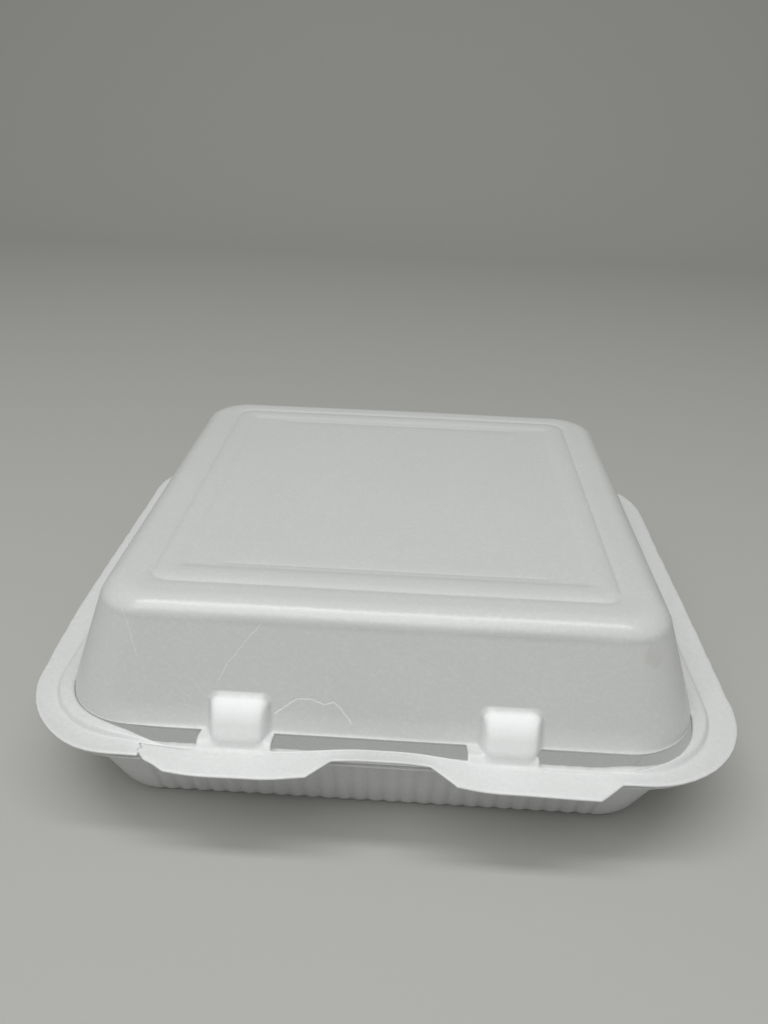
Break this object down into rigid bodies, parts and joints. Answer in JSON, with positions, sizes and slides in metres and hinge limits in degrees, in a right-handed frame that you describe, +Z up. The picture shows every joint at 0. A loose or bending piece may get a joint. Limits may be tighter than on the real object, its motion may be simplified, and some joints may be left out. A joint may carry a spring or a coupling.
{
  "type": "foam clamshell container",
  "caption": "Closed foam clamshell for food: a shallow fluted tray and a domed lid joined by a fold at the back, held shut by latch pockets and opened by finger tabs at the front.",
  "frame": {"origin": "centre of the rim outline, on the flat underside of the tray", "axes": "+X to the right seen from the front, +Y to the fold at the back, +Z up"},
  "size_m": [0.232, 0.2213, 0.0819],
  "materials": {
    "foam": "satin"
  },
  "bodies": {
    "base": {"base_tray": "foam", "hinge_web": "foam"},
    "lid": {"lid": "foam"}
  },
  "joints": [
    {"name": "lid_hinge", "type": "hinge", "parent": "base", "child": "lid", "pos_m": [0, 0.10818, 0.038], "axis": [-1, 0, 0], "range_deg": [0, 165], "deforming": ["hinge_web"]}
  ]
}
